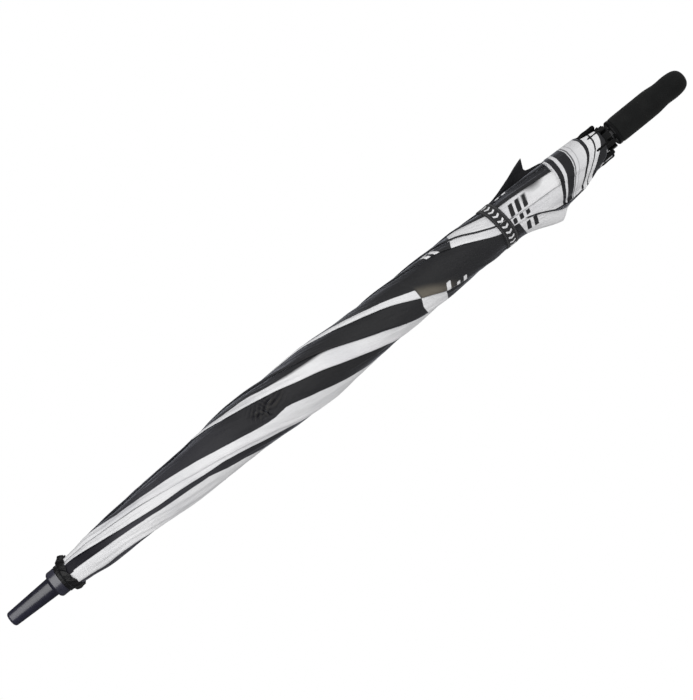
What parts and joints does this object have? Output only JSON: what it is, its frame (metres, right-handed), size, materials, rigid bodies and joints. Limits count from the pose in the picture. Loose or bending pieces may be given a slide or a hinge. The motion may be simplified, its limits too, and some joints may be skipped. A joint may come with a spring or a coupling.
{
  "type": "stick umbrella, furled",
  "caption": "Furled stick umbrella with a foam grip, hard ferrule, hinged ribs and stretchers on a sliding runner, and a two-tone canopy rolled under a tie strap.",
  "frame": {"origin": "on the shaft axis at the grip's end", "axes": "+Z along the shaft from the grip's end to the ferrule's tip; +X towards the taller loose canopy corner"},
  "size_m": [0.0835, 0.0676, 0.95],
  "materials": {
    "shaft_black": "satin black lacquer over steel tube",
    "ferrule_plastic": "fine moulded grain, worn at the tip",
    "steel_wire": "plain drawn wire",
    "black_nylon": "moulded nylon",
    "gloss_black": "glossy moulding",
    "foam": "matte closed-cell foam with fine pores",
    "canopy_black": "tight plain weave, soft sheen",
    "canopy_silver": "coated plain weave, satin",
    "strap_webbing": "doubled weave with stitched edges",
    "hook_loop": "short pile",
    "rib_rod": "pultruded fibre rod, fine lengthwise grain"
  },
  "bodies": {
    "column": {"shaft": "shaft_black", "ferrule": "ferrule_plastic", "top_notch": "black_nylon", "notch_wire": "steel_wire", "notch_pin": "steel_wire", "rosette": "canopy_black", "handle_core": "black_nylon", "grip": "foam", "grip_collar": "gloss_black", "handle_pin": "steel_wire"},
    "runner": {"runner": "gloss_black", "runner_wire": "steel_wire", "latch_spring": "steel_wire"},
    "latch_button": {"latch_button": "black_nylon"},
    "strap_tab": {"strap_tab": "strap_webbing", "strap_hook_patch": "hook_loop"},
    "rib_1": {"rib_1": "rib_rod", "rib_fittings_1": "black_nylon", "rib_tip_1": "black_nylon"},
    "stretcher_1": {"stretcher_1": "rib_rod"},
    "panel_1": {"canopy_panel_1": "canopy_silver"},
    "rib_2": {"rib_2": "rib_rod", "rib_fittings_2": "black_nylon", "rib_tip_2": "black_nylon"},
    "stretcher_2": {"stretcher_2": "rib_rod"},
    "panel_2": {"canopy_panel_2": "canopy_black"},
    "rib_3": {"rib_3": "rib_rod", "rib_fittings_3": "black_nylon", "rib_tip_3": "black_nylon"},
    "stretcher_3": {"stretcher_3": "rib_rod"},
    "panel_3": {"canopy_panel_3": "canopy_silver"},
    "rib_4": {"rib_4": "rib_rod", "rib_fittings_4": "black_nylon", "rib_tip_4": "black_nylon"},
    "stretcher_4": {"stretcher_4": "rib_rod"},
    "panel_4": {"canopy_panel_4": "canopy_black"},
    "rib_5": {"rib_5": "rib_rod", "rib_fittings_5": "black_nylon", "rib_tip_5": "black_nylon"},
    "stretcher_5": {"stretcher_5": "rib_rod"},
    "panel_5": {"canopy_panel_5": "canopy_silver"},
    "rib_6": {"rib_6": "rib_rod", "rib_fittings_6": "black_nylon", "rib_tip_6": "black_nylon"},
    "stretcher_6": {"stretcher_6": "rib_rod"},
    "panel_6": {"canopy_panel_6": "canopy_black"},
    "rib_7": {"rib_7": "rib_rod", "rib_fittings_7": "black_nylon", "rib_tip_7": "black_nylon"},
    "stretcher_7": {"stretcher_7": "rib_rod"},
    "panel_7": {"canopy_panel_7": "canopy_silver", "tie_strap": "strap_webbing", "strap_loop_patch": "hook_loop"},
    "rib_8": {"rib_8": "rib_rod", "rib_fittings_8": "black_nylon", "rib_tip_8": "black_nylon"},
    "stretcher_8": {"stretcher_8": "rib_rod"},
    "panel_8": {"canopy_panel_8": "canopy_black"}
  },
  "joints": [
    {"name": "canopy_open", "type": "slide", "parent": "column", "child": "runner", "axis": [0, 0, 1], "range_m": [0, 0.47], "deforming": ["tie_strap"]},
    {"name": "rib_1_swing", "type": "hinge", "parent": "column", "child": "rib_1", "pos_m": [0.0132, -0.00281, 0.864], "axis": [-0.2079, -0.9781, 0], "range_deg": [0, 79.94]},
    {"name": "stretcher_1_swing", "type": "hinge", "parent": "rib_1", "child": "stretcher_1", "pos_m": [0.01125, -0.00239, 0.52898], "axis": [-0.2079, -0.9781, 0], "range_deg": [-140.94, 0]},
    {"name": "panel_1_spread", "type": "hinge", "parent": "rib_1", "child": "panel_1", "pos_m": [0.01311, -0.00279, 0.87769], "axis": [-0.9615, 0.2747, -0.0073], "range_deg": [0, 22.15]},
    {"name": "rib_2_swing", "type": "hinge", "parent": "column", "child": "rib_2", "pos_m": [0.00735, -0.01132, 0.864], "axis": [-0.8387, -0.5446, 0], "range_deg": [0, 79.94]},
    {"name": "stretcher_2_swing", "type": "hinge", "parent": "rib_2", "child": "stretcher_2", "pos_m": [0.00626, -0.00964, 0.52898], "axis": [-0.8387, -0.5446, 0], "range_deg": [-140.94, 0]},
    {"name": "panel_2_spread", "type": "hinge", "parent": "rib_2", "child": "panel_2", "pos_m": [0.0073, -0.01124, 0.87769], "axis": [-0.4857, 0.8741, -0.0073], "range_deg": [0, 22.15]},
    {"name": "rib_3_swing", "type": "hinge", "parent": "column", "child": "rib_3", "pos_m": [-0.00281, -0.0132, 0.864], "axis": [-0.9781, 0.2079, 0], "range_deg": [0, 79.94]},
    {"name": "stretcher_3_swing", "type": "hinge", "parent": "rib_3", "child": "stretcher_3", "pos_m": [-0.00239, -0.01125, 0.52898], "axis": [-0.9781, 0.2079, 0], "range_deg": [-140.94, 0]},
    {"name": "panel_3_spread", "type": "hinge", "parent": "rib_3", "child": "panel_3", "pos_m": [-0.00279, -0.01311, 0.87769], "axis": [0.2747, 0.9615, -0.0073], "range_deg": [0, 22.15]},
    {"name": "rib_4_swing", "type": "hinge", "parent": "column", "child": "rib_4", "pos_m": [-0.01132, -0.00735, 0.864], "axis": [-0.5446, 0.8387, 0], "range_deg": [0, 79.94]},
    {"name": "stretcher_4_swing", "type": "hinge", "parent": "rib_4", "child": "stretcher_4", "pos_m": [-0.00964, -0.00626, 0.52898], "axis": [-0.5446, 0.8387, 0], "range_deg": [-140.94, 0]},
    {"name": "panel_4_spread", "type": "hinge", "parent": "rib_4", "child": "panel_4", "pos_m": [-0.01124, -0.0073, 0.87769], "axis": [0.8741, 0.4857, -0.0073], "range_deg": [0, 22.15]},
    {"name": "rib_5_swing", "type": "hinge", "parent": "column", "child": "rib_5", "pos_m": [-0.0132, 0.00281, 0.864], "axis": [0.2079, 0.9781, 0], "range_deg": [0, 79.94]},
    {"name": "stretcher_5_swing", "type": "hinge", "parent": "rib_5", "child": "stretcher_5", "pos_m": [-0.01125, 0.00239, 0.52898], "axis": [0.2079, 0.9781, 0], "range_deg": [-140.94, 0]},
    {"name": "panel_5_spread", "type": "hinge", "parent": "rib_5", "child": "panel_5", "pos_m": [-0.01311, 0.00279, 0.87769], "axis": [0.9615, -0.2747, -0.0073], "range_deg": [0, 22.15]},
    {"name": "rib_6_swing", "type": "hinge", "parent": "column", "child": "rib_6", "pos_m": [-0.00735, 0.01132, 0.864], "axis": [0.8387, 0.5446, 0], "range_deg": [0, 79.94]},
    {"name": "stretcher_6_swing", "type": "hinge", "parent": "rib_6", "child": "stretcher_6", "pos_m": [-0.00626, 0.00964, 0.52898], "axis": [0.8387, 0.5446, 0], "range_deg": [-140.94, 0]},
    {"name": "panel_6_spread", "type": "hinge", "parent": "rib_6", "child": "panel_6", "pos_m": [-0.0073, 0.01124, 0.87769], "axis": [0.4857, -0.8741, -0.0073], "range_deg": [0, 22.15]},
    {"name": "rib_7_swing", "type": "hinge", "parent": "column", "child": "rib_7", "pos_m": [0.00281, 0.0132, 0.864], "axis": [0.9781, -0.2079, 0], "range_deg": [0, 79.94]},
    {"name": "stretcher_7_swing", "type": "hinge", "parent": "rib_7", "child": "stretcher_7", "pos_m": [0.00239, 0.01125, 0.52898], "axis": [0.9781, -0.2079, 0], "range_deg": [-140.94, 0]},
    {"name": "panel_7_spread", "type": "hinge", "parent": "rib_7", "child": "panel_7", "pos_m": [0.00279, 0.01311, 0.87769], "axis": [-0.2747, -0.9615, -0.0073], "range_deg": [0, 22.15]},
    {"name": "rib_8_swing", "type": "hinge", "parent": "column", "child": "rib_8", "pos_m": [0.01132, 0.00735, 0.864], "axis": [0.5446, -0.8387, 0], "range_deg": [0, 79.94]},
    {"name": "stretcher_8_swing", "type": "hinge", "parent": "rib_8", "child": "stretcher_8", "pos_m": [0.00964, 0.00626, 0.52898], "axis": [0.5446, -0.8387, 0], "range_deg": [-140.94, 0]},
    {"name": "panel_8_spread", "type": "hinge", "parent": "rib_8", "child": "panel_8", "pos_m": [0.01124, 0.0073, 0.87769], "axis": [-0.8741, -0.4857, -0.0073], "range_deg": [0, 22.15]},
    {"name": "latch_press", "type": "slide", "parent": "runner", "child": "latch_button", "axis": [-0.9833, -0.1822, 0], "range_m": [0, 0.0012], "deforming": ["latch_spring"]},
    {"name": "strap_peel", "type": "hinge", "parent": "panel_7", "child": "strap_tab", "pos_m": [0.00602, 0.0263, 0.263], "axis": [0, 0, 1], "range_deg": [0, 120]}
  ],
  "couplings": [
    {"joint": "rib_1_swing", "follows": "canopy_open", "rad_per_m": 2.9686},
    {"joint": "stretcher_1_swing", "follows": "canopy_open", "rad_per_m": -5.2335},
    {"joint": "panel_1_spread", "follows": "canopy_open", "rad_per_m": 0.82264},
    {"joint": "rib_2_swing", "follows": "canopy_open", "rad_per_m": 2.9686},
    {"joint": "stretcher_2_swing", "follows": "canopy_open", "rad_per_m": -5.2335},
    {"joint": "panel_2_spread", "follows": "canopy_open", "rad_per_m": 0.82264},
    {"joint": "rib_3_swing", "follows": "canopy_open", "rad_per_m": 2.9686},
    {"joint": "stretcher_3_swing", "follows": "canopy_open", "rad_per_m": -5.2335},
    {"joint": "panel_3_spread", "follows": "canopy_open", "rad_per_m": 0.82264},
    {"joint": "rib_4_swing", "follows": "canopy_open", "rad_per_m": 2.9686},
    {"joint": "stretcher_4_swing", "follows": "canopy_open", "rad_per_m": -5.2335},
    {"joint": "panel_4_spread", "follows": "canopy_open", "rad_per_m": 0.82264},
    {"joint": "rib_5_swing", "follows": "canopy_open", "rad_per_m": 2.9686},
    {"joint": "stretcher_5_swing", "follows": "canopy_open", "rad_per_m": -5.2335},
    {"joint": "panel_5_spread", "follows": "canopy_open", "rad_per_m": 0.82264},
    {"joint": "rib_6_swing", "follows": "canopy_open", "rad_per_m": 2.9686},
    {"joint": "stretcher_6_swing", "follows": "canopy_open", "rad_per_m": -5.2335},
    {"joint": "panel_6_spread", "follows": "canopy_open", "rad_per_m": 0.82264},
    {"joint": "rib_7_swing", "follows": "canopy_open", "rad_per_m": 2.9686},
    {"joint": "stretcher_7_swing", "follows": "canopy_open", "rad_per_m": -5.2335},
    {"joint": "panel_7_spread", "follows": "canopy_open", "rad_per_m": 0.82264},
    {"joint": "rib_8_swing", "follows": "canopy_open", "rad_per_m": 2.9686},
    {"joint": "stretcher_8_swing", "follows": "canopy_open", "rad_per_m": -5.2335},
    {"joint": "panel_8_spread", "follows": "canopy_open", "rad_per_m": 0.82264}
  ]
}
